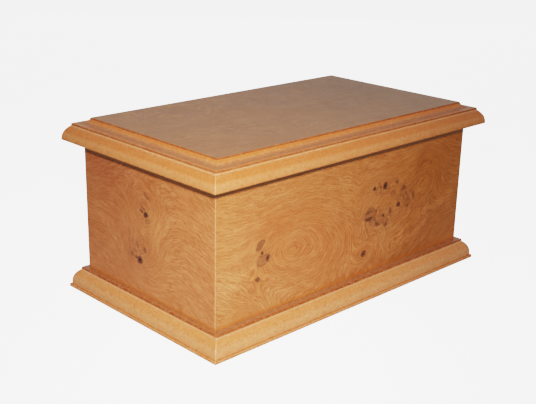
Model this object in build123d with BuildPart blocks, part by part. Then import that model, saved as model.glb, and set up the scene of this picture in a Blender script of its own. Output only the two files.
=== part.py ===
"""Oak casket for cremated ashes.

A rectangular box of four mitred walls stands on a moulded plinth board and is closed by a
moulded lid board that lifts off.  Both boards are worked with the same ovolo cutter; the lid
has a second, coved stage above the ovolo that leaves a raised panel on top.

Frame: millimetres, +Z up.  The origin is at the middle of the underside, X runs along the
length and the front is at -Y.
"""

import os
from math import cos, radians, sin, sqrt

from build123d import *

# Overall sizes
body_length = 282.0  # outside of the walls, along X
body_width = 154.5  # outside of the walls, along Y
wall_height = 106.0  # from the plinth to the underside of the lid
wall_thickness = 12.0
corner_round = 0.6  # easing of the four upright corners

# The cutters
ovolo_radius = 12.7  # used on both boards
ovolo_sweep = 56.58  # degrees of the ovolo's arc, starting upright at its foot
quirk_height = 1.8  # small upright step above the ovolo
cove_radius = 6.35  # used on the lid, between the shelf and the raised panel

# The plinth board, under the walls
plinth_side_overhang = 10.75  # past each end wall, along X
plinth_front_overhang = 13.0  # past the front and back walls, along Y
toe_height = 2.4  # square toe along the bottom edge
toe_projection = 1.5  # how far the toe stands out past the ovolo
plinth_upright = 2.2  # plain upright between the toe and the ovolo

# The lid board, over the walls
lid_side_overhang = 11.75
lid_front_overhang = 13.25
lid_upright = 0.9  # plain upright under the ovolo
shelf_width = 4.6  # flat shelf between the ovolo and the cove
panel_height = 4.7  # how far the raised panel stands above the shelf

# The step under the lid that drops between the walls and keeps the lid in place
step_depth = 3.0
step_clearance = 1.0

# Levels and widths that follow from the sizes above
ovolo_rise = ovolo_radius * sin(radians(ovolo_sweep))
ovolo_depth = ovolo_radius * (1 - cos(radians(ovolo_sweep)))
cove_depth = sqrt(cove_radius**2 - (cove_radius - panel_height) ** 2)
plinth_height = toe_height + plinth_upright + ovolo_rise + quirk_height
shelf_height = lid_upright + ovolo_rise + quirk_height
lid_height = shelf_height + panel_height
lid_underside = plinth_height + wall_height
inner_length = body_length - 2 * wall_thickness
inner_width = body_width - 2 * wall_thickness


def plinth_section(plane, half_width):
    """Cross-section of the plinth: toe, upright, ovolo and quirk, the same on both edges."""
    ovolo_face = half_width - toe_projection
    ledge_edge = ovolo_face - ovolo_depth
    ovolo_foot = toe_height + plinth_upright
    ovolo_top = ovolo_foot + ovolo_rise
    with BuildSketch(plane) as section:
        with BuildLine():
            Polyline((0, 0), (half_width, 0), (half_width, toe_height), (ovolo_face, toe_height))
            Line((ovolo_face, toe_height), (ovolo_face, ovolo_foot))
            RadiusArc((ovolo_face, ovolo_foot), (ledge_edge, ovolo_top), -ovolo_radius)
            Polyline((ledge_edge, ovolo_top), (ledge_edge, plinth_height), (0, plinth_height))
            mirror(about=Plane.YZ)
        make_face()
    return section.sketch


def lid_section(plane, half_width):
    """Cross-section of the lid: ovolo, quirk, shelf, cove and raised panel, on both edges."""
    shelf_edge = half_width - ovolo_depth
    cove_foot = shelf_edge - shelf_width
    panel_edge = cove_foot - cove_depth
    ovolo_top = lid_upright + ovolo_rise
    with BuildSketch(plane) as section:
        with BuildLine():
            Polyline((0, 0), (half_width, 0), (half_width, lid_upright))
            RadiusArc((half_width, lid_upright), (shelf_edge, ovolo_top), -ovolo_radius)
            Polyline((shelf_edge, ovolo_top), (shelf_edge, shelf_height), (cove_foot, shelf_height))
            RadiusArc((cove_foot, shelf_height), (panel_edge, lid_height), cove_radius)
            Line((panel_edge, lid_height), (0, lid_height))
            mirror(about=Plane.YZ)
        make_face()
    return section.sketch


def moulded_board(section, level, side_overhang, front_overhang):
    """A board with the same moulding on all four edges, meeting in mitres at the corners.

    The cross-section is run along X and along Y, and the board is what both runs share.
    """
    half_length = body_length / 2 + side_overhang
    half_width = body_width / 2 + front_overhang
    across_width = Plane(origin=(0, 0, level), x_dir=(0, 1, 0), z_dir=(1, 0, 0))
    across_length = Plane(origin=(0, 0, level), x_dir=(1, 0, 0), z_dir=(0, -1, 0))
    with BuildPart() as board:
        extrude(section(across_width, half_width), amount=half_length, both=True)
        extrude(
            section(across_length, half_length),
            amount=half_width,
            both=True,
            mode=Mode.INTERSECT,
        )
    return board


def mitred_wall(*mitre_outline):
    """One wall: the part of the rectangular ring of walls that lies inside its mitre lines."""
    with BuildPart() as wall:
        with BuildSketch(Plane.XY.offset(plinth_height)):
            RectangleRounded(body_length, body_width, corner_round)
            Rectangle(inner_length, inner_width, mode=Mode.SUBTRACT)
            with BuildLine():
                Polyline(*mitre_outline, close=True)
            make_face(mode=Mode.INTERSECT)
        extrude(amount=wall_height)
    return wall


def write(piece, name):
    """Label one finished piece and write it as its own STEP file."""
    piece.part.label = name
    export_step(piece.part, f"parts/{name}.step")


# Plinth board
plinth = moulded_board(plinth_section, 0, plinth_side_overhang, plinth_front_overhang)

# Four walls, each between the 45 degree mitre lines that run in from the corners
front_left = (-body_length / 2, -body_width / 2)
front_right = (body_length / 2, -body_width / 2)
back_left = (-body_length / 2, body_width / 2)
back_right = (body_length / 2, body_width / 2)
left_meeting = (-(body_length - body_width) / 2, 0)
right_meeting = ((body_length - body_width) / 2, 0)
front_wall = mitred_wall(front_left, front_right, right_meeting, left_meeting)
back_wall = mitred_wall(back_right, back_left, left_meeting, right_meeting)
left_wall = mitred_wall(back_left, front_left, left_meeting)
right_wall = mitred_wall(front_right, back_right, right_meeting)

# Lid board, with the locating step worked on its underside
with BuildPart() as lid:
    add(moulded_board(lid_section, lid_underside, lid_side_overhang, lid_front_overhang).part)
    with BuildSketch(Plane.XY.offset(lid_underside)):
        Rectangle(inner_length - 2 * step_clearance, inner_width - 2 * step_clearance)
    extrude(amount=-step_depth)

os.makedirs("parts", exist_ok=True)
write(plinth, "plinth")
write(front_wall, "front_wall")
write(back_wall, "back_wall")
write(left_wall, "left_wall")
write(right_wall, "right_wall")
write(lid, "lid")
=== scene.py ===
import math

import bpy
import numpy as np
from mathutils import Matrix, Vector


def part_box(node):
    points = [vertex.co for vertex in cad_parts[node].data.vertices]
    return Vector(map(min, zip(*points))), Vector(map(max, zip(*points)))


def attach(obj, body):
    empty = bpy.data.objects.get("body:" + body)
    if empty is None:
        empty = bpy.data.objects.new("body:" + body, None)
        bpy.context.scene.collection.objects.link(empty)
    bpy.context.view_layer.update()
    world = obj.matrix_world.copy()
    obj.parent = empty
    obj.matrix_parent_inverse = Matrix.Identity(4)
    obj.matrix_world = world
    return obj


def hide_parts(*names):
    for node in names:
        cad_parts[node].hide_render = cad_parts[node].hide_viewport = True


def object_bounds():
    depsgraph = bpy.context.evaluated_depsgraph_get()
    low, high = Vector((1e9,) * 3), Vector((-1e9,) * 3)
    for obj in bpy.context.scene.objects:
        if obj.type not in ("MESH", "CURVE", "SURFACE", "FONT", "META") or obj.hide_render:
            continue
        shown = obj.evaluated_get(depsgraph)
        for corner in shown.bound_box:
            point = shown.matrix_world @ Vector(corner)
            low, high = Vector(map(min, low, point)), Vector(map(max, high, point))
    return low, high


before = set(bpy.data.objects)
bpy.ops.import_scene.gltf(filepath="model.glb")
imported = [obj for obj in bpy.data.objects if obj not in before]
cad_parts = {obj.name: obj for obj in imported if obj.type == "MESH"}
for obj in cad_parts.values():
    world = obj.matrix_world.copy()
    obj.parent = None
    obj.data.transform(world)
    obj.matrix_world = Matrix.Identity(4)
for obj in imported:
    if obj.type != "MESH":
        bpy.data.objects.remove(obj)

cad_lo, cad_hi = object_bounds()
MM = 0.001
PER_METRE = 1000

# ---------------------------------------------------------------- places, all read from the frame

plinth_lo, plinth_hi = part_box("plinth")
lid_lo, lid_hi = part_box("lid")
front_lo, front_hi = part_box("front_wall")

middle = (cad_lo + cad_hi) / 2
body_half_x = front_hi.x
body_half_y = -front_lo.y
wall_thick = front_hi.y - front_lo.y
wall_foot = front_lo.z
wall_head = front_hi.z

# The two cutters, as worked on the boards
OVOLO_RADIUS = 12.7 * MM
OVOLO_SWEEP = math.radians(56.58)
OVOLO_RISE = OVOLO_RADIUS * math.sin(OVOLO_SWEEP)
OVOLO_DEPTH = OVOLO_RADIUS * (1 - math.cos(OVOLO_SWEEP))
COVE_RADIUS = 6.35 * MM
QUIRK = 1.8 * MM
SHELF_WIDTH = 4.6 * MM
PANEL_HEIGHT = 4.7 * MM
COVE_DEPTH = math.sqrt(COVE_RADIUS**2 - (COVE_RADIUS - PANEL_HEIGHT) ** 2)
LID_UPRIGHT = 0.9 * MM
TOE_HEIGHT = 2.4 * MM
TOE_PROJECTION = 1.5 * MM
STEP_CLEARANCE = 1.0 * MM

# ---------------------------------------------------------------- camera

# Angles in radians, distances in metres, and the lens in millimetres
HEADING = 0.7736
TILT = 0.3251
ROLL = 0.0218
CAMERA_DISTANCE = 0.79101
SIDEWAYS = -0.01204
UPWAYS = -0.00818
SENSOR_WIDTH = 36
LENS = 63.908

ahead = Vector((
    math.sin(HEADING) * math.cos(TILT),
    math.cos(HEADING) * math.cos(TILT),
    -math.sin(TILT),
))
level_right = Vector((math.cos(HEADING), -math.sin(HEADING), 0))
level_up = level_right.cross(ahead)
right = math.cos(ROLL) * level_right + math.sin(ROLL) * level_up
up = math.cos(ROLL) * level_up - math.sin(ROLL) * level_right
camera_data = bpy.data.cameras.new("camera")
camera_data.sensor_width = SENSOR_WIDTH
camera_data.lens = LENS
camera_data.clip_start = 0.01
camera = bpy.data.objects.new("camera", camera_data)
camera_place = Matrix((right, up, -ahead)).transposed().to_4x4()
camera_place.translation = middle - CAMERA_DISTANCE * ahead + SIDEWAYS * right + UPWAYS * up
camera.matrix_world = camera_place
bpy.context.scene.collection.objects.link(camera)
bpy.context.scene.camera = camera
bpy.context.scene.view_settings.view_transform = "Filmic"
bpy.context.scene.view_settings.look = "High Contrast"

# ---------------------------------------------------------------- node trees


class Bench:
    """Lays out one node tree.  Each call adds a node; an input is a number, a colour or a socket."""

    def __init__(self, tree):
        self.tree = tree

    def node(self, kind, sockets=(), **settings):
        made = self.tree.nodes.new(kind)
        for name, value in settings.items():
            setattr(made, name, value)
        for key, value in dict(sockets).items():
            if isinstance(value, bpy.types.NodeSocket):
                self.tree.links.new(value, made.inputs[key])
            else:
                made.inputs[key].default_value = value
        return made

    def math(self, operation, *values):
        return self.node("ShaderNodeMath", enumerate(values), operation=operation).outputs[0]

    def chain(self, operation, values):
        total = values[0]
        for value in values[1:]:
            total = self.math(operation, total, value)
        return total

    def plus(self, *values):
        return self.chain("ADD", values)

    def times(self, *values):
        return self.chain("MULTIPLY", values)

    def most(self, *values):
        return self.chain("MAXIMUM", values)

    def vector(self, operation, *values):
        made = self.node("ShaderNodeVectorMath", enumerate(values), operation=operation)
        return made.outputs["Value" if operation in ("DOT_PRODUCT", "LENGTH") else "Vector"]

    def trio(self, x, y, z):
        return self.node("ShaderNodeCombineXYZ", enumerate((x, y, z))).outputs[0]

    def rise(self, value, low, high, bottom=0.0, top=1.0):
        """Smooth step of value from low to high, given out as bottom to top."""
        made = self.node(
            "ShaderNodeMapRange",
            {"Value": value, "From Min": low, "From Max": high, "To Min": bottom, "To Max": top},
            interpolation_type="SMOOTHSTEP",
        )
        return made.outputs["Result"]

    def noise(self, place, scale, detail=2.0, roughness=0.5, output="Fac"):
        made = self.node(
            "ShaderNodeTexNoise",
            {"Vector": place, "Scale": scale, "Detail": detail, "Roughness": roughness},
        )
        return made.outputs[output]

    def blend(self, factor, first, second, kind="MIX"):
        made = self.node(
            "ShaderNodeMix",
            {0: factor, 6: first, 7: second},
            data_type="RGBA",
            blend_type=kind,
        )
        return made.outputs[2]

    def placed(self, group, **values):
        made = self.node("ShaderNodeGroup", (), node_tree=group)
        for name, value in values.items():
            socket = made.inputs[name.replace("_", " ")]
            if isinstance(value, bpy.types.NodeSocket):
                self.tree.links.new(value, socket)
            else:
                socket.default_value = value
        return made.outputs


def recipe(name, takes, gives, lay):
    """A shader node group with named inputs and outputs, laid out once by lay(bench, inputs)."""
    tree = bpy.data.node_groups.new(name, "ShaderNodeTree")
    for label, kind, value in takes:
        socket = tree.interface.new_socket(label, in_out="INPUT", socket_type="NodeSocket" + kind)
        socket.default_value = value
    for label, kind in gives:
        tree.interface.new_socket(label, in_out="OUTPUT", socket_type="NodeSocket" + kind)
    bench = Bench(tree)
    results = lay(bench, bench.node("NodeGroupInput").outputs)
    bench.node("NodeGroupOutput", results)
    return tree


SPOT_INPUTS = [
    ("Place", "Vector", (0, 0, 0)),
    ("Centre", "Vector", (0, 0, 0)),
    ("Turn", "Vector", (0, 0, 0)),
    ("Half Size", "Vector", (1, 1, 1)),
]


def scaled_place(bench, given):
    """The place as seen from a spot's centre, turned with it, and 1 away at its half size."""
    return bench.node(
        "ShaderNodeMapping",
        {
            "Vector": given["Place"],
            "Location": given["Centre"],
            "Rotation": given["Turn"],
            "Scale": given["Half Size"],
        },
        vector_type="TEXTURE",
    ).outputs[0]


def lay_swell(bench, given):
    """A round-shouldered hill: lift times e to the minus squared scaled distance from its centre."""
    scaled = scaled_place(bench, given)
    square = bench.vector("DOT_PRODUCT", scaled, scaled)
    hill = bench.math("EXPONENT", bench.times(square, -1.0))
    return {"Height": bench.times(hill, given["Lift"])}


swell = recipe(
    "veneer swell",
    SPOT_INPUTS + [("Lift", "Float", 1.0)],
    [("Height", "Float")],
    lay_swell,
)


def lay_eye(bench, given):
    """A pin knot: a dark heart inside scaled distance 1, brown around it, and a thin rim at 1."""
    distance = bench.vector("LENGTH", scaled_place(bench, given))
    heart = bench.rise(distance, 0.4, 0.95, 1.0, 0.0)
    body = bench.rise(distance, 0.7, 1.5, 1.0, 0.0)
    off_rim = bench.math("DIVIDE", bench.math("SUBTRACT", distance, 1.0), 0.22)
    rim = bench.math("EXPONENT", bench.times(off_rim, off_rim, -1.0))
    return {
        "Heart": bench.times(heart, given["Dark"], given["Dark"]),
        "Body": bench.times(body, bench.math("SQRT", given["Dark"])),
        "Rim": bench.times(rim, given["Dark"]),
    }


eye = recipe(
    "pin knot",
    SPOT_INPUTS + [("Dark", "Float", 1.0)],
    [("Heart", "Float"), ("Body", "Float"), ("Rim", "Float")],
    lay_eye,
)


def lay_figure(bench, given):
    """Grain that follows the level lines of a height: noise read at (height, place), with the
    height counted fast and the place slowly, so that light and dark run along the level lines."""
    height = given["Height"]
    place = given["Place"]

    def along(height_rate, place_rate, detail, roughness):
        """Noise read at the height and the place, each at its own rate."""
        slow = bench.vector("MULTIPLY", place, (place_rate, place_rate, place_rate))
        fast = bench.trio(0.0, 0.0, bench.times(height, height_rate))
        return bench.noise(bench.vector("ADD", slow, fast), 1.0, detail, roughness)

    broad = along(0.34, 0.025, 2.0, 0.5)
    growth = along(1.1, 0.05, 2.0, 0.6)
    fine = along(2.4, 0.12, 2.0, 0.6)
    dashes = along(5.0, 0.5, 1.0, 0.5)
    off_line = bench.math("ABSOLUTE", bench.math("SUBTRACT", growth, 0.5))
    return {
        "Broad": bench.rise(broad, 0.3, 0.7),
        "Growth": bench.rise(off_line, 0.0, 0.07, 1.0, 0.0),
        "Fine": bench.rise(fine, 0.36, 0.64),
        "Dashes": bench.rise(dashes, 0.52, 0.68),
    }


figure = recipe(
    "grain along level lines",
    [("Place", "Vector", (0, 0, 0)), ("Height", "Float", 0.0)],
    [("Broad", "Float"), ("Growth", "Float"), ("Fine", "Float"), ("Dashes", "Float")],
    lay_figure,
)


def lay_band(bench, given):
    """A soft stripe: 1 within the half width of its middle, falling to 0 over the softness."""
    off = bench.math("ABSOLUTE", bench.math("SUBTRACT", given["Position"], given["Middle"]))
    outer = bench.math("ADD", given["Half Width"], given["Softness"])
    mask = bench.rise(off, given["Half Width"], outer, 1.0, 0.0)
    return {"Mask": mask}


band = recipe(
    "soft stripe",
    [
        ("Position", "Float", 0.0),
        ("Middle", "Float", 0.0),
        ("Half Width", "Float", 1.0),
        ("Softness", "Float", 1.0),
    ],
    [("Mask", "Float")],
    lay_band,
)


def lay_handling(bench, given):
    """Fine scatter of the lacquer's surface: roughness mottled at two sizes, and a low bump."""
    soft = bench.noise(given["Place"], 0.035, 3.0, 0.6)
    tight = bench.noise(given["Place"], 0.9, 2.0, 0.5)
    spread = bench.plus(bench.times(soft, 0.12), bench.times(tight, 0.05), -0.085)
    return {
        "Roughness": bench.plus(given["Roughness"], spread),
        "Relief": bench.plus(bench.times(soft, 0.6), bench.times(tight, 0.4)),
    }


handling = recipe(
    "satin lacquer",
    [("Place", "Vector", (0, 0, 0)), ("Roughness", "Float", 0.42)],
    [("Roughness", "Float"), ("Relief", "Float")],
    lay_handling,
)

# ---------------------------------------------------------------- materials


def new_material(name):
    """A material with its own surface shader, and a bench to lay out its nodes."""
    material = bpy.data.materials.new(name)
    material.use_nodes = True
    return material, Bench(material.node_tree)


def finish_with(bench, colour, roughness, relief, relief_depth, coat=0.25, coat_roughness=0.3):
    """Feed colour, roughness and relief into the material's own lacquered surface shader.

    relief_depth is in metres; the coat's weight and roughness are the same all over.
    """
    surface = bench.tree.nodes["Principled BSDF"]
    bump = bench.node(
        "ShaderNodeBump",
        {"Height": relief, "Strength": 0.5, "Distance": relief_depth},
    )
    bench.tree.links.new(colour, surface.inputs["Base Color"])
    bench.tree.links.new(roughness, surface.inputs["Roughness"])
    bench.tree.links.new(bump.outputs[0], surface.inputs["Normal"])
    surface.inputs["Coat Weight"].default_value = coat
    surface.inputs["Coat Roughness"].default_value = coat_roughness


def burr_veneer(name, rightwards, upwards, wood, tones, half_width=None, level=None):
    """Burr oak veneer on one flat face.

    rightwards and upwards are the face's directions as seen by someone looking at it, so the
    place on the face is counted in millimetres from the middle.  wood holds the figure: swells
    lift the grain's height, eyes are pin knots, burls are specked patches and stains multiply
    the colour.  Each is centre right, centre up, half length, half width, turn in degrees, and
    then its lift, darkness, amount or colour.  half_width places the pale arris at the face's
    two ends, worn veneer with a painted highlight on the eased corner.  level is a wall's foot
    and head: a darker line along the foot is painted shade where the wall meets the plinth, and
    a browner band under the lid is painted shadow colour, standing in for the light that fills
    the lid's cast shadow.
    """
    material, bench = new_material(name)
    here = bench.node("ShaderNodeTexCoord").outputs["Object"]
    across = bench.vector("DOT_PRODUCT", here, tuple(PER_METRE * part for part in rightwards))
    upward = bench.vector("DOT_PRODUCT", here, tuple(PER_METRE * part for part in upwards))
    flat = bench.trio(across, upward, 0.0)

    def wander(scale, reach):
        """A soft shift of the place, by up to half the reach each way."""
        wave = bench.noise(flat, scale, 1.0, 0.5, "Color")
        centred = bench.vector("SUBTRACT", wave, (0.5, 0.5, 0.5))
        return bench.vector("MULTIPLY", centred, (reach, reach, 0))

    def lying(group, place, spot, **values):
        """The group placed at one spot of the figure."""
        x, z, long_half, short_half, turn = spot
        return bench.placed(
            group,
            Place=place,
            Centre=(x, z, 0),
            Turn=(0, 0, math.radians(turn)),
            Half_Size=(long_half, short_half, 1),
            **values,
        )

    bent = bench.vector("ADD", flat, wander(0.07, wood["wave"]))
    bent = bench.vector("ADD", bent, wander(0.28, wood["curl"]))
    ragged = bench.vector("ADD", bent, wander(0.9, 0.9))

    height = bench.vector("DOT_PRODUCT", bent, wood["slope"])
    for *spot, lift in wood["swells"]:
        height = bench.plus(height, lying(swell, bent, spot, Lift=lift)["Height"])
    heart, body, rim = 0.0, 0.0, 0.0
    for *spot, dark in wood["eyes"]:
        knot = lying(eye, ragged, spot, Dark=dark)
        heart = bench.most(heart, knot["Heart"])
        body = bench.most(body, knot["Body"])
        rim = bench.most(rim, knot["Rim"])
    burl = 0.0
    for *spot, amount in wood["burls"]:
        burl = bench.most(burl, lying(swell, ragged, spot, Lift=amount)["Height"])

    run = bench.placed(figure, Place=ragged, Height=bench.plus(height, bench.times(body, 2.0)))
    mottle = bench.rise(bench.noise(flat, 0.03, 3.0, 0.6), 0.36, 0.66)
    freckle = bench.rise(bench.noise(flat, 1.1, 3.0, 0.65), 0.35, 0.7)
    speck = bench.rise(bench.noise(ragged, 0.34, 3.0, 0.65), 0.46, 0.60)
    pale_speck = bench.rise(bench.noise(ragged, 0.27, 2.0, 0.5), 0.46, 0.34)
    patch = bench.rise(bench.noise(ragged, 0.13, 2.0, 0.6), 0.36, 0.60)
    fade_from, fade_to, faded = wood["fade"]
    strength = bench.rise(across, fade_from, fade_to, 1.0, faded)

    ground = bench.blend(bench.times(mottle, 0.7), tones["pale"], tones["warm"])
    for amount, mask, tone in (
        (0.55, run["Broad"], "brown"),
        (0.64, run["Growth"], "line"),
        (0.46, run["Fine"], "line"),
        (0.46, run["Dashes"], "line"),
        (0.24, freckle, "pale"),
    ):
        ground = bench.blend(bench.times(mask, strength, amount), ground, tones[tone])
    for mask, tone in (
        (bench.times(burl, patch, 0.55), "brown_knot"),
        (bench.times(burl, pale_speck, 0.6), "pale"),
        (bench.times(burl, speck, 0.85), "brown_knot"),
        (bench.times(body, 0.55), "brown_knot"),
        (bench.times(rim, 0.85), "knot"),
        (bench.times(heart, 0.95), "knot"),
    ):
        ground = bench.blend(mask, ground, tones[tone])

    # Painted shade, partly darker wood: the colour darkens across the face from shade_from to
    # shade_to; on the front, the left end and the top this stands in for the light's fall-off away
    # from the near corner, and the back and right walls repeat the pattern
    shade = bench.rise(across, tones["shade_from"], tones["shade_to"])
    colour = bench.blend(shade, ground, bench.blend(1.0, ground, tones["shade"], "MULTIPLY"))
    for *spot, tint in wood["stains"]:
        colour = bench.blend(lying(swell, bent, spot, Lift=1.0)["Height"], colour, tint, "MULTIPLY")
    # A pale line at the face's two ends: worn veneer, with a painted highlight on the eased corner
    if half_width is not None:
        inward = bench.math("SUBTRACT", half_width, bench.math("ABSOLUTE", across))
        broken = bench.rise(bench.noise(flat, 0.5, 2.0, 0.6), 0.3, 0.6, 0.25, 1.0)
        arris = bench.placed(band, Position=inward, Middle=0.0, Half_Width=0.2, Softness=0.5)
        colour = bench.blend(bench.times(arris["Mask"], broken, 0.3), colour, tones["arris"])
    if level is not None:
        foot, head = level
        # Painted shade: a darker line along the foot, where the wall meets the plinth
        low = bench.placed(band, Position=upward, Middle=foot, Half_Width=0.8, Softness=3.6)
        # Painted shadow colour: a browner band under the lid, for the light that fills the lid's cast
        # shadow
        high = bench.placed(band, Position=upward, Middle=head, Half_Width=7.0, Softness=1.5)
        colour = bench.blend(bench.times(low["Mask"], 0.6), colour, tones["foot"])
        colour = bench.blend(bench.times(high["Mask"], 0.75), colour, tones["painted_shadow_tint"])

    lacquer = bench.placed(handling, Place=flat, Roughness=0.43)
    relief = bench.plus(lacquer["Relief"], bench.times(run["Dashes"], -0.5), bench.times(heart, -0.8))
    finish_with(bench, colour, lacquer["Roughness"], relief, 0.06 * MM)
    return material


def stained_moulding(name, bands, tones, mitre_from):
    """Stained moulding, speckled and streaked along its edge.

    The mesh carries the distance along the profile, along the edge and from the nearest mitre.
    Each band colours a stripe: its distance along the profile, half width and softness in
    millimetres, its tone and its amount.  The colour deepens from the near corner to the far
    one: partly darker stain, partly painted shade for the light's fall-off.  The mitre shows as
    a pale line beyond mitre_from along the profile: worn finish, with a painted highlight where
    the eased corner catches the light.
    """
    material, bench = new_material(name)
    here = bench.node("ShaderNodeTexCoord").outputs["Object"]
    flat = bench.vector("MULTIPLY", here, (PER_METRE, PER_METRE, PER_METRE))

    def carried(label):
        """A value that the mesh's points carry."""
        return bench.node("ShaderNodeAttribute", attribute_name=label).outputs["Fac"]

    profile = carried("profile_mm")
    edge = carried("edge_mm")
    mitre = carried("mitre_mm")
    fibre = bench.trio(bench.times(edge, 0.08), bench.times(profile, 0.9), 0.0)
    streak = bench.rise(bench.noise(fibre, 1.0, 3.0, 0.6), 0.3, 0.7)
    speck = bench.rise(bench.noise(flat, 0.5, 4.0, 0.75), 0.46, 0.62)
    pale_speck = bench.rise(bench.noise(flat, 0.38, 4.0, 0.75), 0.52, 0.66)
    mottle = bench.rise(bench.noise(flat, 0.05, 3.0, 0.6), 0.35, 0.68)
    blotch = bench.rise(bench.noise(flat, 0.3, 2.0, 0.6), 0.3, 0.7)

    colour = bench.blend(bench.times(mottle, 0.5), tones["pale"], tones["warm"])
    colour = bench.blend(bench.times(blotch, 0.45), colour, tones["warm"])
    colour = bench.blend(bench.times(streak, 0.22), colour, tones["stain"])
    colour = bench.blend(bench.times(speck, 0.44), colour, tones["stain"])
    colour = bench.blend(bench.times(pale_speck, 0.65), colour, tones["straw"])
    wander = bench.times(bench.math("SUBTRACT", bench.noise(flat, 0.22, 2.0, 0.5), 0.5), 0.7)
    wandering = bench.plus(profile, wander)
    uneven = bench.rise(bench.noise(flat, 0.35, 3.0, 0.7), 0.3, 0.62, 0.45, 1.0)
    for at, half_width, softness, tone, amount in bands:
        stripe = bench.placed(
            band, Position=wandering, Middle=at, Half_Width=half_width, Softness=softness
        )
        colour = bench.blend(bench.times(stripe["Mask"], uneven, amount), colour, tones[tone])
    # Painted shade, partly darker stain: the colour darkens away from the near corner, for the
    # light's fall-off
    along = bench.vector("DOT_PRODUCT", flat, (1.0, 1.0, 0.0))
    shade = bench.rise(along, tones["shade_from"], tones["shade_to"])
    colour = bench.blend(shade, colour, bench.blend(1.0, colour, tones["shade"], "MULTIPLY"))
    # The pale mitre line: worn finish, with a painted highlight on the eased corner
    broken = bench.rise(bench.noise(flat, 0.6, 2.0, 0.6), 0.3, 0.6, 0.35, 1.0)
    joint = bench.placed(band, Position=mitre, Middle=0.0, Half_Width=0.2, Softness=0.4)
    outer = bench.rise(profile, mitre_from, mitre_from + 0.8)
    colour = bench.blend(bench.times(joint["Mask"], broken, outer, 0.36), colour, tones["highlight_and_wear"])

    lacquer = bench.placed(handling, Place=flat, Roughness=0.44)
    relief = bench.plus(lacquer["Relief"], bench.times(speck, 0.4), bench.times(streak, 0.3))
    finish_with(bench, colour, lacquer["Roughness"], relief, 0.05 * MM)
    return material


def bare_board(name):
    """The unseen board under the veneer: pressed fibre, matt, with fine flecks."""
    material, bench = new_material(name)
    here = bench.node("ShaderNodeTexCoord").outputs["Object"]
    flat = bench.vector("MULTIPLY", here, (PER_METRE, PER_METRE, PER_METRE))
    fleck = bench.rise(bench.noise(flat, 1.3, 3.0, 0.7), 0.35, 0.7)
    mottle = bench.noise(flat, 0.06, 2.0, 0.5)
    colour = bench.blend(mottle, (0.36, 0.22, 0.11, 1), (0.27, 0.155, 0.075, 1))
    colour = bench.blend(bench.times(fleck, 0.35), colour, (0.17, 0.09, 0.04, 1))
    roughness = bench.plus(bench.times(fleck, 0.1), 0.62)
    finish_with(bench, colour, roughness, fleck, 0.08 * MM, coat=0.0)
    return material


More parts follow.
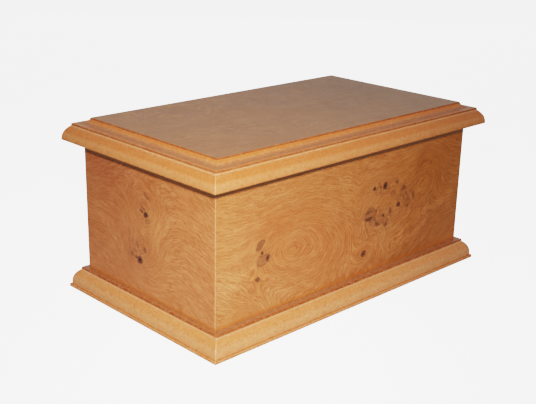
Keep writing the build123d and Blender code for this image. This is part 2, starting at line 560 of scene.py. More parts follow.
FRONT_TONES = {
    "pale": (0.70, 0.285, 0.108, 1),
    "warm": (0.63, 0.215, 0.066, 1),
    "brown": (0.52, 0.17, 0.054, 1),
    "line": (0.33, 0.085, 0.022, 1),
    "brown_knot": (0.25, 0.094, 0.044, 1),
    "knot": (0.030, 0.017, 0.014, 1),
    "arris": (0.88, 0.52, 0.27, 1),
    "foot": (0.42, 0.12, 0.030, 1),
    # Painted shadow colour for the band under the lid
    "painted_shadow_tint": (0.60, 0.34, 0.18, 1),
    # Painted shade, partly darker wood, across the face from shade_from to shade_to
    "shade": (0.84, 0.80, 0.74, 1),
    "shade_from": -120.0,
    "shade_to": 170.0,
}
FRONT_WOOD = {
    "slope": (-0.01, -0.30, 0),
    "wave": 3.6,
    "curl": 1.8,
    "fade": (-20, 110, 0.85),
    "swells": [
        (-69, 63, 19, 11, 0, 9),
        (-60, 58, 50, 26, -8, 24),
        (7.5, 80, 5.5, 32, 4, -5.5),
        (45, 70, 34, 24, 0, 24),
        (92, 88, 22, 24, 0, 20),
        (15.6, 34.8, 11, 9, 0, 9),
        (38, 30, 6, 16, 0, 6),
        (-110, 14, 20, 14, 0, 18),
        (-160, 30, 60, 62, 0, 36),
        (-46, 70, 54, 40, 0, 18),
        (150, 0, 60, 55, 0, 34),
    ],
    "eyes": [
        (-98.4, 70.8, 4.6, 2.5, 38, 0.62),
        (-96.4, 64.2, 1.4, 1.2, 0, 0.95),
        (-98.0, 62.0, 1.0, 0.8, 0, 0.6),
        (-95.0, 58.7, 6.2, 3.2, 12, 0.45),
        (-90.6, 59.2, 1.3, 2.2, -30, 0.95),
        (-101.0, 45.0, 2.0, 1.6, 0, 0.85),
        (24.7, 87.3, 1.7, 1.6, 0, 0.95),
        (33.0, 87.3, 0.9, 0.9, 0, 0.8),
        (38.7, 87.3, 2.0, 2.4, 0, 1.0),
        (53.4, 87.3, 1.8, 1.6, 0, 0.6),
        (48.7, 79.0, 3.4, 2.0, 10, 0.3),
        (21.5, 66.4, 6.2, 5.0, 0, 0.35),
        (19.0, 68.6, 3.6, 1.0, 6, 0.7),
        (20.0, 63.2, 4.2, 1.1, -4, 0.85),
        (29.0, 68.4, 1.2, 1.0, 0, 0.6),
        (38.4, 62.7, 1.4, 1.3, 0, 0.9),
        (47.2, 64.2, 1.6, 2.4, 0, 0.6),
        (30.3, 56.8, 1.8, 1.5, 0, 0.6),
        (40.6, 54.6, 1.8, 1.3, 0, 0.7),
        (56.5, 67.9, 1.9, 1.6, 0, 0.95),
        (63.4, 80.4, 2.2, 1.8, 0, 0.6),
        (75.9, 71.5, 1.4, 2.6, 0, 0.6),
        (68.6, 64.2, 1.5, 1.3, 0, 0.6),
        (15.6, 34.8, 2.9, 2.3, 10, 0.9),
        (17.4, 36.6, 1.0, 0.8, 0, 0.6),
        (97.5, 95.6, 1.0, 0.8, 0, 0.5),
    ],
    "burls": [
        (34, 60, 20, 10, -8, 1.0),
        (36, 86, 17, 7, 0, 0.75),
        (66, 72, 12, 12, 0, 0.9),
        (-96, 62, 6, 10, 0, 0.45),
    ],
    "stains": [
        (100, 90, 46, 26, 10, (0.90, 0.84, 0.66, 1)),
        (72, 18, 40, 14, 0, (0.74, 0.70, 0.62, 1)),
        (108, 52, 40, 40, 0, (0.88, 0.86, 0.82, 1)),
        (-82, 84, 26, 13, 0, (0.92, 0.78, 0.74, 1)),
        (-40, 62, 40, 24, 0, (0.96, 0.88, 0.86, 1)),
        (-20, 34, 90, 34, 0, (1.0, 0.93, 0.92, 1)),
        (83, 97, 6, 16, -20, (0.84, 0.78, 0.68, 1)),
        (101, 54, 7, 14, 0, (0.85, 0.82, 0.80, 1)),
        (118, 60, 22, 5, 16, (1.2, 1.25, 1.3, 1)),
        (-128, 60, 14, 50, 0, (1.06, 1.08, 1.06, 1)),
    ],
}

# A wall's foot and head in millimetres
WALL_LEVEL = (wall_foot / MM, wall_head / MM)
front_veneer = burr_veneer(
    "front_veneer", (1, 0, 0), (0, 0, 1), FRONT_WOOD, FRONT_TONES, PER_METRE * body_half_x, WALL_LEVEL
)

END_TONES = dict(
    FRONT_TONES,
    pale=(0.69, 0.260, 0.103, 1),
    warm=(0.60, 0.198, 0.071, 1),
    shade=(0.90, 0.88, 0.95, 1),
    shade_from=60.0,
    shade_to=-80.0,
)
LEFT_WOOD = {
    "slope": (0.15, 0.33, 0),
    "wave": 3.6,
    "curl": 1.5,
    "fade": (-200, -199, 0.9),
    "swells": [
        (-1, 86, 16, 14, 0, 13),
        (-7, 50, 18, 15, 0, 16),
        (-5, 64, 30, 36, 10, 14),
        (-90, 120, 60, 50, 0, 30),
    ],
    "eyes": [
        (-0.5, 82.6, 2.2, 1.9, 0, 1.0),
        (-5.2, 85.0, 1.8, 1.2, -20, 0.75),
        (-3.0, 87.4, 2.6, 1.0, -30, 0.5),
        (1.6, 78.0, 3.0, 1.4, 10, 0.3),
        (0.7, 97.3, 2.6, 1.2, -50, 0.45),
        (4.5, 95.5, 2.2, 0.9, -50, 0.45),
        (-8.9, 45.4, 2.5, 2.2, 0, 1.0),
        (-12.6, 46.6, 1.2, 1.0, 0, 0.7),
        (-18.0, 47.3, 1.4, 1.6, 0, 0.55),
        (-1.5, 53.9, 1.5, 1.8, 20, 0.6),
        (-11.5, 57.0, 1.2, 3.4, 30, 0.3),
    ],
    "burls": [(-1, 84, 9, 9, 0, 0.5), (-10, 51, 12, 10, 0, 0.6)],
    "stains": [
        (-50, 112, 60, 30, 0, (0.86, 0.80, 0.84, 1)),
        (-22, 50, 14, 16, 0, (0.90, 0.88, 0.90, 1)),
        (12, 78, 12, 10, 0, (1.12, 1.16, 1.12, 1)),
    ],
}
left_veneer = burr_veneer(
    "left_veneer", (0, -1, 0), (0, 0, 1), LEFT_WOOD, END_TONES, PER_METRE * body_half_y, WALL_LEVEL
)
BACK_WOOD = dict(
    FRONT_WOOD,
    fade=(-200, -199, 0.85),
    swells=[
        (-88, 80, 30, 22, 20, 22),
        (-20, 40, 46, 24, -12, 24),
        (58, 78, 26, 22, 0, 20),
        (104, 34, 30, 26, 0, 22),
        (-120, 20, 40, 30, 0, 24),
        (20, 110, 50, 12, 0, 9),
    ],
    eyes=[
        (-90, 82, 4.0, 2.6, 20, 0.6),
        (-84, 76, 1.7, 1.5, 0, 0.9),
        (-93, 75, 1.2, 1.0, 0, 0.8),
        (-24, 42, 2.2, 1.9, 0, 0.95),
        (-17, 46, 1.2, 1.1, 0, 0.6),
        (55, 82, 2.4, 2.0, 0, 0.9),
        (62, 75, 1.7, 1.7, 0, 0.8),
        (67, 83, 1.4, 1.6, 0, 0.7),
        (58, 88, 1.2, 1.0, 0, 0.7),
        (106, 36, 2.0, 1.6, 0, 0.6),
    ],
    burls=[(60, 80, 15, 11, 0, 0.7), (-88, 80, 10, 9, 0, 0.5)],
    stains=[(90, 100, 50, 24, 0, (0.88, 0.80, 0.70, 1)), (-60, 60, 40, 30, 0, (0.95, 0.90, 0.86, 1))],
)
# On the back and right walls the band under the lid is plain brown: painted shade under the lid
BACK_TONES = dict(FRONT_TONES, painted_shadow_tint=FRONT_TONES["brown"])
back_veneer = burr_veneer(
    "back_veneer", (-1, 0, 0), (0, 0, 1), BACK_WOOD, BACK_TONES, PER_METRE * body_half_x, WALL_LEVEL
)
RIGHT_WOOD = dict(
    LEFT_WOOD,
    slope=(-0.10, 0.32, 0),
    swells=[(-30, 70, 30, 24, 15, 22), (26, 42, 24, 20, 0, 19), (60, 100, 40, 24, 0, 16)],
    eyes=[
        (-32, 72, 2.8, 2.0, 0, 0.9),
        (-27, 66, 1.5, 1.3, 0, 0.7),
        (27, 42, 2.2, 2.0, 0, 1.0),
        (21, 48, 1.3, 1.3, 0, 0.6),
        (32, 47, 1.4, 1.0, 0, 0.6),
    ],
    burls=[(-30, 70, 9, 8, 0, 0.5), (26, 44, 10, 9, 0, 0.6)],
    stains=[(40, 100, 50, 26, 0, (0.86, 0.80, 0.76, 1))],
)
RIGHT_TONES = dict(END_TONES, painted_shadow_tint=END_TONES["brown"])
right_veneer = burr_veneer(
    "right_veneer", (0, 1, 0), (0, 0, 1), RIGHT_WOOD, RIGHT_TONES, PER_METRE * body_half_y, WALL_LEVEL
)
# The top's tones are darker than the walls': partly painted shade, for an up-facing top that the low
# key light only grazes
TOP_TONES = dict(
    FRONT_TONES,
    pale=(0.49, 0.205, 0.066, 1),
    warm=(0.43, 0.165, 0.046, 1),
    brown=(0.35, 0.13, 0.046, 1),
    line=(0.25, 0.085, 0.03, 1),
    brown_knot=(0.24, 0.11, 0.06, 1),
    shade=(0.82, 0.83, 0.82, 1),
    shade_from=-60.0,
    shade_to=120.0,
)
TOP_WOOD = {
    "slope": (0.08, 0.32, 0),
    "wave": 6.0,
    "curl": 2.0,
    "fade": (-200, -199, 1.0),
    "swells": [
        (-59, -46, 34, 18, -15, 16),
        (20, 20, 36, 22, 20, 20),
        (44, -22, 26, 18, 0, 14),
        (-90, 30, 40, 26, 0, 18),
        (100, 30, 30, 24, 0, 16),
        (0, -70, 70, 14, 0, -8),
    ],
    "eyes": [
        (16, 18, 3, 2, 10, 0.3),
        (3.5, 39, 2.4, 1.6, 0, 0.35),
        (36, -26, 2.4, 1.6, 0, 0.35),
        (51, -16, 3, 1.8, 20, 0.3),
        (-59, -46, 2.4, 1.5, 0, 0.3),
    ],
    "burls": [(16, 22, 12, 9, 20, 0.5), (44, -20, 14, 9, 0, 0.45), (3, 40, 8, 6, 0, 0.4)],
    "stains": [(110, 20, 40, 40, 0, (0.92, 0.92, 0.95, 1))],
}
top_veneer = burr_veneer("top_veneer", (1, 0, 0), (0, 1, 0), TOP_WOOD, TOP_TONES)
core_board = bare_board("core_board")

# ---------------------------------------------------------------- meshes

EASING = 0.25 * MM
MITRE_EASING = 0.5 * MM
WALK_STEP = 0.05 * MM
SAME_POINT = 1e-9
TURN_WORTH = 0.12
END_SHIFT = 1.0
FAR_FROM_MITRE = 0.1
# How finely the two boards are divided
LONG_COUNT = 72
SHORT_COUNT = 44
CORNER_COUNT = 6
LID_STATIONS = 84
PLINTH_STATIONS = 76


def step_lengths(points):
    """Straight distance from each point to the next."""
    return np.hypot(*np.diff(points, axis=0).T)


def read_line(distances, walked, points):
    """The points' two coordinates at the given distances along their line."""
    return np.stack([np.interp(distances, walked, points[:, axis]) for axis in (0, 1)], axis=1)


def eased_profile(pieces, stations):
    """Even walk along a sharp profile, averaged over a short length so that every arris and inner
    corner is eased, then read again at stations spaced by equal length plus equal turning."""
    sharp = np.vstack(pieces)
    sharp = sharp[np.concatenate(([True], step_lengths(sharp) > SAME_POINT))]
    walked = np.concatenate(([0], np.cumsum(step_lengths(sharp))))
    even = np.arange(0, walked[-1], WALK_STEP)
    dense = read_line(even, walked, sharp)
    reach = int(4 * EASING / WALK_STEP)
    offsets = np.arange(-reach, reach + 1) * WALK_STEP
    weights = np.exp(-0.5 * (offsets / EASING) ** 2)
    weights /= weights.sum()
    padded = np.pad(dense, ((reach, reach), (0, 0)), mode="reflect", reflect_type="odd")
    smooth = np.stack([np.convolve(padded[:, axis], weights, "valid") for axis in (0, 1)], axis=1)
    heading = np.unwrap(np.arctan2(*np.gradient(smooth, axis=0).T[::-1]))
    turned = np.concatenate(([0], np.cumsum(np.abs(np.diff(heading)))))
    spent = even / even[-1] + TURN_WORTH * turned
    picks = np.interp(np.linspace(0, spent[-1], stations), spent, even)
    return read_line(picks, even, smooth), picks


def straight(start, end, count=2):
    """Points at equal steps from start to end."""
    return np.linspace(start, end, count)


def arc(centre, radius, start, end, count=48):
    """Points at equal angles on a circle, angles in degrees from the inward direction upwards."""
    angle = np.radians(np.linspace(start, end, count))
    return np.stack(
        [centre[0] + radius * np.cos(angle), centre[1] + radius * np.sin(angle)], axis=1
    )


def rectangle_path(long_count, short_count, corner_count):
    """A rectangle with rounded corners, anticlockwise from the front left.  A point is
    (along.x * (half_x - r) + turn.x * r, along.y * (half_y - r) + turn.y * r): along gives the
    place on the straight part and turn the direction out of the corner's small circle."""
    long_run = np.linspace(-1, 1, long_count)
    short_run = np.linspace(-1, 1, short_count)
    sweep = np.linspace(0, np.pi / 2, corner_count + 1)[1:-1]
    along = []
    turn = []
    sides = []
    for side in range(4):
        across = (long_run, short_run)[side % 2]
        out = np.array([(0, -1), (1, 0), (0, 1), (-1, 0)][side])
        forward = np.array([(1, 0), (0, 1), (-1, 0), (0, -1)][side])
        along.append(across[:, None] * forward + out)
        turn.append(np.tile(out, (len(across), 1)))
        along.append(np.tile(out + forward, (len(sweep), 1)))
        turn.append(np.cos(sweep)[:, None] * out + np.sin(sweep)[:, None] * forward)
        sides.append(np.full(len(across) + len(sweep), side))
    return np.vstack(along), np.vstack(turn), np.concatenate(sides)


def strip(first, second, closed=False):
    """Four-sided faces between two rows of point numbers."""
    if closed:
        first = np.append(first, first[0])
        second = np.append(second, second[0])
    return np.stack([first[:-1], second[:-1], second[1:], first[1:]], axis=1)


def put_mesh(name, points, faces, materials, slots, smooth, values):
    """Make the mesh object at the origin, with each face's material slot and shading, and with
    the values that its points carry."""
    mesh = bpy.data.meshes.new(name)
    mesh.from_pydata(points.tolist(), [], faces)
    for material in materials:
        mesh.materials.append(material)
    mesh.polygons.foreach_set("material_index", slots)
    mesh.polygons.foreach_set("use_smooth", smooth)
    for label, numbers in values.items():
        layer = mesh.attributes.new(label, "FLOAT", "POINT")
        layer.data.foreach_set("value", numbers.astype(np.float32))
    mesh.update()
    made = bpy.data.objects.new(name, mesh)
    bpy.context.scene.collection.objects.link(made)
    return made


def moulded_board(name, half_x, half_y, height, walked, corner, materials, slot_of_station):
    """A profile carried round a rectangle with eased mitres and closed by a flat top and bottom.

    At profile station s and path place t the point is along[t] times (half size[s] - corner)
    plus turn[t] times corner, at height[s].  The profile runs from the top outwards, down and
    back in to the bottom.  Each flat is a grid over its middle, joined to each straight side of
    the ring by a row of faces and to each rounded corner by a fan.

    walked is the distance along the profile at each station, and slot_of_station the material
    slot of the faces after it.  The points carry, in millimetres, that distance, the place
    along the edge (shifted on the ends, so that their streaks differ) and the distance from the
    nearest mitre, which is the larger of the point's gaps to the rectangle's two sides.
    """
    along, turn, side = rectangle_path(LONG_COUNT, SHORT_COUNT, CORNER_COUNT)
    loop_count = len(along)
    half = np.stack([half_x, half_y], axis=1)[:, None, :]
    plan = along[None] * (half - corner) + turn[None] * corner
    rings = np.concatenate(
        [plan, np.broadcast_to(height[:, None, None], (len(height), loop_count, 1))], axis=2
    )
    numbers = np.arange(len(height) * loop_count).reshape(len(height), loop_count)
    quads = [strip(numbers[s], numbers[s + 1], closed=True) for s in range(len(height) - 1)]
    slots = [np.full(loop_count, slot_of_station[s]) for s in range(len(height) - 1)]
    points = [rings.reshape(-1, 3)]
    triangles = []
    triangle_slots = []
    count = numbers.size
    side_counts = [LONG_COUNT, SHORT_COUNT, LONG_COUNT, SHORT_COUNT]
    starts = np.cumsum([0] + [number + CORNER_COUNT - 1 for number in side_counts])[:4]
    for station, flip, slot in ((0, False, slot_of_station[0]), (-1, True, slot_of_station[-1])):
        columns = np.linspace(-1, 1, LONG_COUNT) * (half_x[station] - corner)
        rows = np.linspace(-1, 1, SHORT_COUNT) * (half_y[station] - corner)
        grid_x, grid_y = np.meshgrid(columns, rows, indexing="ij")
        grid_z = np.full_like(grid_x, height[station])
        points.append(np.stack([grid_x, grid_y, grid_z], axis=2).reshape(-1, 3))
        grid = count + np.arange(grid_x.size).reshape(grid_x.shape)
        count += grid_x.size
        ring = numbers[station]
        inner = [grid[:, 0], grid[-1, :], grid[::-1, -1], grid[0, ::-1]]
        flats = [strip(grid[i], grid[i + 1]) for i in range(LONG_COUNT - 1)]
        fans = []
        for turn_number in range(4):
            first = starts[turn_number]
            outer = ring[first:first + side_counts[turn_number]]
            flats.append(strip(inner[turn_number], outer))
            arc_from = first + side_counts[turn_number] - 1
            arc_points = ring[np.arange(arc_from, arc_from + CORNER_COUNT + 1) % loop_count]
            hub = np.full(CORNER_COUNT, inner[turn_number][-1])
            fans.append(np.stack([hub, arc_points[:-1], arc_points[1:]], axis=1))
        flats = np.vstack(flats)
        fans = np.vstack(fans)
        if flip:
            flats = flats[:, ::-1]
            fans = fans[:, ::-1]
        quads.append(flats)
        slots.append(np.full(len(flats), slot))
        triangles.append(fans)
        triangle_slots.append(np.full(len(fans), slot))
    points = np.vstack(points)
    placed_x, placed_y = points[:, 0], points[:, 1]
    walked_rings = np.broadcast_to(walked[:, None], rings.shape[:2]).reshape(-1)
    flat_count = len(points) - len(walked_rings)
    profile = np.concatenate([
        walked_rings,
        np.full(flat_count // 2, walked[0]),
        np.full(flat_count // 2, walked[-1]),
    ])
    on_end = np.concatenate([np.tile(side % 2 == 1, len(height)), np.zeros(flat_count, dtype=bool)])
    edge = np.where(on_end, placed_y + END_SHIFT, placed_x)
    ring_half_x = np.broadcast_to(half_x[:, None], rings.shape[:2]).reshape(-1)
    ring_half_y = np.broadcast_to(half_y[:, None], rings.shape[:2]).reshape(-1)
    gap_x = ring_half_x - np.abs(placed_x[:len(walked_rings)])
    gap_y = ring_half_y - np.abs(placed_y[:len(walked_rings)])
    mitre = np.concatenate([np.maximum(gap_x, gap_y), np.full(flat_count, FAR_FROM_MITRE)])
    faces = np.vstack(quads).tolist() + np.vstack(triangles).tolist()
    return put_mesh(
        name,
        points,
        faces,
        materials,
        np.concatenate(slots + triangle_slots),
        np.ones(len(faces), dtype=bool),
        {"profile_mm": profile / MM, "edge_mm": edge / MM, "mitre_mm": mitre / MM},
    )


# The lid's profile, as (distance in from the outer edge, height), from the raised panel down
lid_top = lid_hi.z
lid_foot = wall_head
shelf_level = lid_top - PANEL_HEIGHT
ovolo_head = shelf_level - QUIRK
cove_start = OVOLO_DEPTH + SHELF_WIDTH
panel_edge = cove_start + COVE_DEPTH
cove_end_angle = math.degrees(math.asin((COVE_RADIUS - PANEL_HEIGHT) / COVE_RADIUS))
lid_pieces = [
    straight((panel_edge + 2 * MM, lid_top), (panel_edge, lid_top)),
    arc((cove_start, shelf_level + COVE_RADIUS), COVE_RADIUS, -cove_end_angle, -90),
    straight((cove_start, shelf_level), (OVOLO_DEPTH, shelf_level)),
    straight((OVOLO_DEPTH, shelf_level), (OVOLO_DEPTH, ovolo_head)),
    arc((OVOLO_RADIUS, lid_foot + LID_UPRIGHT), OVOLO_RADIUS, 180 - math.degrees(OVOLO_SWEEP), 180),
    straight((0, lid_foot + LID_UPRIGHT), (0, lid_foot)),
    straight((0, lid_foot), (8 * MM, lid_foot)),
]
lid_profile, lid_walked = eased_profile(lid_pieces, LID_STATIONS)

# The locating step under the lid, clear of the walls all round
lid_half_x = lid_hi.x - lid_profile[:, 0]
lid_half_y = lid_hi.y - lid_profile[:, 0]
lid_level = lid_profile[:, 1]
step_half_x = body_half_x - wall_thick - STEP_CLEARANCE
step_half_y = body_half_y - wall_thick - STEP_CLEARANCE
step_foot = lid_lo.z
STEP_BEVEL = 0.4 * MM
STEP_WALKED = np.array([20, 23, 23.5]) * MM
lid_half_x = np.append(lid_half_x, [step_half_x, step_half_x, step_half_x - STEP_BEVEL])
lid_half_y = np.append(lid_half_y, [step_half_y, step_half_y, step_half_y - STEP_BEVEL])
lid_level = np.append(lid_level, [lid_foot, step_foot + STEP_BEVEL, step_foot])
lid_walked = np.append(lid_walked, lid_walked[-1] + STEP_WALKED)

MOULDING_TONES = {
    "pale": (0.75, 0.31, 0.126, 1),
    "warm": (0.68, 0.225, 0.072, 1),
    "stain": (0.30, 0.062, 0.010, 1),
    "painted_shade": (0.31, 0.128, 0.062, 1),
    "highlight_and_wear": (0.88, 0.52, 0.26, 1),
    "orange": (0.64, 0.20, 0.048, 1),
    "straw": (0.78, 0.35, 0.140, 1),
    # Painted shade, partly darker stain, away from the near corner
    "shade": (0.88, 0.90, 1.0, 1),
    "shade_from": -220.0,
    "shade_to": 90.0,
}


def walked_at(pieces, piece, fraction=0.0):
    """Distance along the profile, in millimetres, of a place on one of its pieces."""
    lengths = [step_lengths(part).sum() for part in pieces]
    return (sum(lengths[:piece]) + fraction * lengths[piece]) / MM


# Distance along the profile, half width and softness in millimetres, tone and amount
lid_bands = [
    (walked_at(lid_pieces, 1, 0.2), 0.8, 1.8, "orange", 0.8),
    # Painted shade: greyer brown on the cove's foot and the shelf, which face up, away from the light
    (walked_at(lid_pieces, 1, 0.85), 1.4, 2.4, "painted_shade", 0.75),
    (walked_at(lid_pieces, 1) + 0.3, 0.55, 0.6, "stain", 1.0),
    (walked_at(lid_pieces, 3) + 0.6, 0.7, 0.7, "stain", 0.75),
    # Painted highlight along the ovolo's top arris
    (walked_at(lid_pieces, 4) + 0.1, 0.3, 0.6, "highlight_and_wear", 0.4),
    # Painted light and shade: the ovolo more orange above and paler lower down, as the light falls on
    # it
    (walked_at(lid_pieces, 4, 0.35), 1.8, 2.6, "orange", 0.75),
    (walked_at(lid_pieces, 4, 0.8), 2.0, 2.5, "straw", 0.4),
    (walked_at(lid_pieces, 6) - 0.1, 0.3, 0.6, "stain", 0.5),
]
LID_TONES = dict(
    MOULDING_TONES,
    pale=(0.71, 0.264, 0.097, 1),
    warm=(0.64, 0.184, 0.049, 1),
    orange=(0.57, 0.150, 0.030, 1),
    straw=(0.76, 0.305, 0.116, 1),
    shade=(0.84, 0.84, 0.88, 1),
)
lid_moulding = stained_moulding("lid_moulding", lid_bands, LID_TONES, walked_at(lid_pieces, 3))
lid_slots = np.where(lid_walked < walked_at(lid_pieces, 1) * MM, 0, 1)
lid_slots[lid_walked > walked_at(lid_pieces, 6, 0.6) * MM] = 2
casket_lid = moulded_board(
    "casket_lid",
    lid_half_x,
    lid_half_y,
    lid_level,
    lid_walked,
    MITRE_EASING,
    [top_veneer, lid_moulding, core_board],
    lid_slots,
)

# The plinth's profile, from the ledge under the walls down to the underside
toe_face = TOE_PROJECTION
ledge = plinth_hi.z
plinth_foot = plinth_lo.z
quirk_foot = ledge - QUIRK
ovolo_foot = quirk_foot - OVOLO_RISE
plinth_pieces = [
    straight((toe_face + OVOLO_DEPTH + 8 * MM, ledge), (toe_face + OVOLO_DEPTH, ledge)),
    straight((toe_face + OVOLO_DEPTH, ledge), (toe_face + OVOLO_DEPTH, quirk_foot)),
    arc((toe_face + OVOLO_RADIUS, ovolo_foot), OVOLO_RADIUS, 180 - math.degrees(OVOLO_SWEEP), 180),
    straight((toe_face, ovolo_foot), (toe_face, plinth_foot + TOE_HEIGHT)),
    straight((toe_face, plinth_foot + TOE_HEIGHT), (0, plinth_foot + TOE_HEIGHT)),
    straight((0, plinth_foot + TOE_HEIGHT), (0, plinth_foot)),
    straight((0, plinth_foot), (6 * MM, plinth_foot)),
]
plinth_profile, plinth_walked = eased_profile(plinth_pieces, PLINTH_STATIONS)
plinth_bands = [
    # Painted shade: darker on the ledge top beside the wall, which faces up and is shaded by the wall
    (walked_at(plinth_pieces, 1) - 3.4, 2.2, 1.2, "painted_shade", 0.95),
    (walked_at(plinth_pieces, 1) + 0.5, 1.0, 0.8, "stain", 1.0),
    # Painted highlight along the ovolo's top arris
    (walked_at(plinth_pieces, 2) + 0.1, 0.3, 0.6, "highlight_and_wear", 0.4),
    # Painted light and shade: the ovolo more orange above and paler lower down, as the light falls on
    # it
    (walked_at(plinth_pieces, 2, 0.3), 1.6, 2.4, "orange", 0.6),
    (walked_at(plinth_pieces, 2, 0.9), 2.0, 2.5, "straw", 0.4),
    (walked_at(plinth_pieces, 4) + 0.3, 0.5, 0.6, "stain", 0.55),
    (walked_at(plinth_pieces, 6), 0.3, 0.5, "stain", 0.4),
]
plinth_moulding = stained_moulding(
    "plinth_moulding", plinth_bands, MOULDING_TONES, walked_at(plinth_pieces, 1)
)
plinth_slots = np.where(plinth_walked > walked_at(plinth_pieces, 6, 0.3) * MM, 1, 0)
casket_plinth = moulded_board(
    "casket_plinth",
    plinth_hi.x - plinth_profile[:, 0],
    plinth_hi.y - plinth_profile[:, 0],
    plinth_profile[:, 1],
    plinth_walked,
    MITRE_EASING,
    [plinth_moulding, core_board],
    plinth_slots,
)

CORNER_ROUND = 0.6 * MM
CORNER_POINTS = 6
WALL_EASING = 0.25 * MM
BEND_POINTS = 5
LENGTH_POINTS = 96
FACE_POINTS = 36
EDGE_POINTS = 4
INSIDE_POINTS = 8
FACE_SINK = 0.03 * MM
CALM_END = 10 * MM


def mitred_wall(name, outward, rightwards, half_length, half_depth, veneer):
    """One wall between two mitre planes.

    Along the wall, place t gives an outer point, which follows the face and then the first half
    of the rounded corner, and an inner point on the inner face; across, a section loop of
    (share of the thickness, height) runs up the face, over the top, down the inside and back.
    A point is its distance along times rightwards, plus (half depth - its sink) times outward,
    at its height; distance and sink go from the outer point's to the inner point's by the share.
    The face sinks by up to a few hundredths of a millimetre, a sine of a sine along and up,
    fading to none near the corners, where the veneer has moved.
    """
    quarter = np.radians(np.linspace(45, 0, CORNER_POINTS))
    flat = half_length - CORNER_ROUND
    straight_run = np.linspace(-flat, flat, LENGTH_POINTS)[1:-1]
    outer_along = np.concatenate([
        -flat - CORNER_ROUND * np.sin(quarter),
        straight_run,
        flat + CORNER_ROUND * np.sin(quarter[::-1]),
    ])
    corner_sink = CORNER_ROUND * (1 - np.cos(quarter))
    outer_sink = np.concatenate([corner_sink, np.zeros(len(straight_run)), corner_sink[::-1]])
    inner_along = outer_along / outer_along[-1] * (half_length - wall_thick)
    bend = np.radians(np.linspace(0, 90, BEND_POINTS))
    rows = np.linspace(wall_foot + WALL_EASING, wall_head - WALL_EASING, FACE_POINTS)[1:-1]
    share = np.concatenate([
        WALL_EASING * (1 - np.sin(bend)) / wall_thick,
        np.zeros(len(rows)),
        WALL_EASING * (1 - np.cos(bend)) / wall_thick,
        np.linspace(0.1, 1, EDGE_POINTS),
        np.ones(INSIDE_POINTS),
        np.linspace(1, 0.1, EDGE_POINTS),
    ])
    level = np.concatenate([
        wall_foot + WALL_EASING * (1 - np.cos(bend)),
        rows,
        wall_head - WALL_EASING * (1 - np.sin(bend)),
        np.full(EDGE_POINTS, wall_head),
        np.linspace(wall_head, wall_foot, INSIDE_POINTS + 2)[1:-1],
        np.full(EDGE_POINTS, wall_foot),
    ])
    place, weight = np.meshgrid(np.arange(len(outer_along)), share, indexing="ij")
    lift = np.broadcast_to(level, place.shape)
    along = (1 - weight) * outer_along[place] + weight * inner_along[place]
    calm = np.clip((flat - np.abs(along)) / CALM_END, 0, 1)
    ripple = 0.5 + 0.25 * np.sin(along / 0.031 + 2.1 * np.sin(lift / 0.024))
    ripple = ripple + 0.25 * np.sin(lift / 0.017 + 1.7 * np.sin(along / 0.043))
    sink = (1 - weight) * (outer_sink[place] + FACE_SINK * calm * ripple) + weight * wall_thick
    points = (
        along[..., None] * np.array(rightwards)
        + (half_depth - sink)[..., None] * np.array(outward)
        + lift[..., None] * np.array((0, 0, 1))
    ).reshape(-1, 3)
    numbers = np.arange(place.size).reshape(place.shape)
    lengths = range(len(numbers) - 1)
    quads = np.vstack([strip(numbers[i], numbers[i + 1], closed=True) for i in lengths])
    face_rows = np.tile(np.arange(len(share)), len(numbers) - 1)
    veneered = face_rows < len(rows) + 2 * BEND_POINTS - 1
    ends = [numbers[0].tolist(), numbers[-1][::-1].tolist()]
    return put_mesh(
        name,
        points,
        quads.tolist() + ends,
        [veneer, core_board],
        np.append(np.where(veneered, 0, 1), [1, 1]),
        np.append(veneered, [False, False]),
        {},
    )


# Each wall's panel, outward and rightward directions, half length, half depth and veneer
WALLS = {
    "front_wall": ("front_panel", (0, -1, 0), (1, 0, 0), body_half_x, body_half_y, front_veneer),
    "back_wall": ("back_panel", (0, 1, 0), (-1, 0, 0), body_half_x, body_half_y, back_veneer),
    "left_wall": ("left_panel", (-1, 0, 0), (0, -1, 0), body_half_y, body_half_x, left_veneer),
    "right_wall": ("right_panel", (1, 0, 0), (0, 1, 0), body_half_y, body_half_x, right_veneer),
}
walls = {node: mitred_wall(*facts) for node, facts in WALLS.items()}

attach(casket_lid, "root")
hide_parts("lid")
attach(casket_plinth, "root")
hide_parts("plinth")
for node, piece in walls.items():
    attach(piece, "root")
    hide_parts(node)

# ---------------------------------------------------------------- floor and light


def soft_light(name, place, aim, size, power, warmth=(1, 1, 1)):
    """A square light at place, turned to aim and hidden from the camera."""
    light = bpy.data.lights.new(name, "AREA")
    light.energy = power
    light.size = size
    light.color = warmth
    made = bpy.data.objects.new(name, light)
    made.location = place
    made.visible_camera = False
    made.rotation_euler = (aim - place).to_track_quat("-Z", "Y").to_euler()
    bpy.context.scene.collection.objects.link(made)
    return made


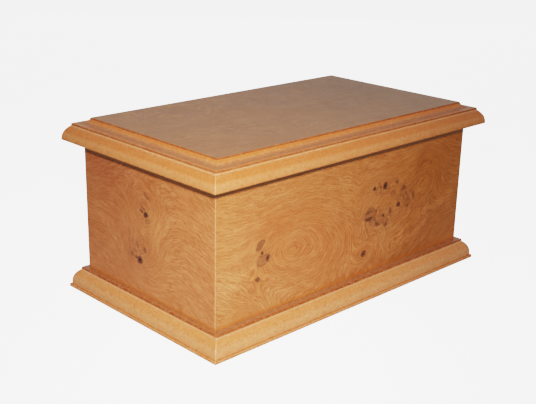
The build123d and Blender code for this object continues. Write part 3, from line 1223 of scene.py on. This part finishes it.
KEY_AZIMUTH = math.radians(40)
KEY_ELEVATION = math.radians(25.6)
KEY_DISTANCE = 0.85
KEY_SIZE = 0.06
KEY_POWER = 0.66
KEY_SPREAD = math.radians(40)
REAR_DISTANCE = 1.5
REAR_SIZE = 1.2
REAR_POWER = 0.98
REAR_WARMTH = (1.0, 0.95, 0.86)
near_corner = Vector((-body_half_x, -body_half_y, wall_head))
key_way = Vector((
    -math.sin(KEY_AZIMUTH) * math.cos(KEY_ELEVATION),
    -math.cos(KEY_AZIMUTH) * math.cos(KEY_ELEVATION),
    math.sin(KEY_ELEVATION),
))
key_aim = near_corner + Vector((0.02, 0.0, -0.05))
key_place = near_corner + KEY_DISTANCE * key_way
key = soft_light("key_light", key_place, key_aim, KEY_SIZE, KEY_POWER)
key.data.spread = KEY_SPREAD
behind = Vector((math.sin(HEADING), math.cos(HEADING), 0.28)).normalized()
rear_place = middle + REAR_DISTANCE * behind
soft_light("rear_light", rear_place, middle, REAR_SIZE, REAR_POWER, REAR_WARMTH)

# The floor and the backdrop are brighter to the camera than to the casket
FLOOR_HALF = 9
FLOOR_GREY = (0.30, 0.30, 0.30, 1)
FLOOR_SEEN = (0.85, 0.85, 0.85, 1)
FLOOR_GLOW_SEEN = 2.2
BACKDROP_LIGHT = 0.32
BACKDROP_EXTRA_SEEN = 2.10

floor_corners = [(x * FLOOR_HALF, y * FLOOR_HALF, 0) for x, y in ((-1, -1), (1, -1), (1, 1), (-1, 1))]
floor_mesh = bpy.data.meshes.new("floor")
floor_mesh.from_pydata(floor_corners, [], [(0, 1, 2, 3)])
floor = bpy.data.objects.new("floor", floor_mesh)
bpy.context.scene.collection.objects.link(floor)
floor_finish, bench = new_material("floor_paper")
floor_mesh.materials.append(floor_finish)
seen = bench.node("ShaderNodeLightPath").outputs["Is Camera Ray"]
surface = bench.tree.nodes["Principled BSDF"]
surface.inputs["Roughness"].default_value = 0.9
paper = bench.blend(seen, FLOOR_GREY, FLOOR_SEEN)
bench.tree.links.new(paper, surface.inputs["Base Color"])
surface.inputs["Emission Color"].default_value = (1, 1, 1, 1)
bench.tree.links.new(bench.times(seen, FLOOR_GLOW_SEEN), surface.inputs["Emission Strength"])

world = bpy.data.worlds.new("studio")
bpy.context.scene.world = world
world.use_nodes = True
world_bench = Bench(world.node_tree)
backdrop = world.node_tree.nodes["Background"]
backdrop.inputs["Color"].default_value = (1, 1, 1, 1)
seen = world_bench.node("ShaderNodeLightPath").outputs["Is Camera Ray"]
strength = world_bench.plus(world_bench.times(seen, BACKDROP_EXTRA_SEEN), BACKDROP_LIGHT)
world_bench.tree.links.new(strength, backdrop.inputs["Strength"])
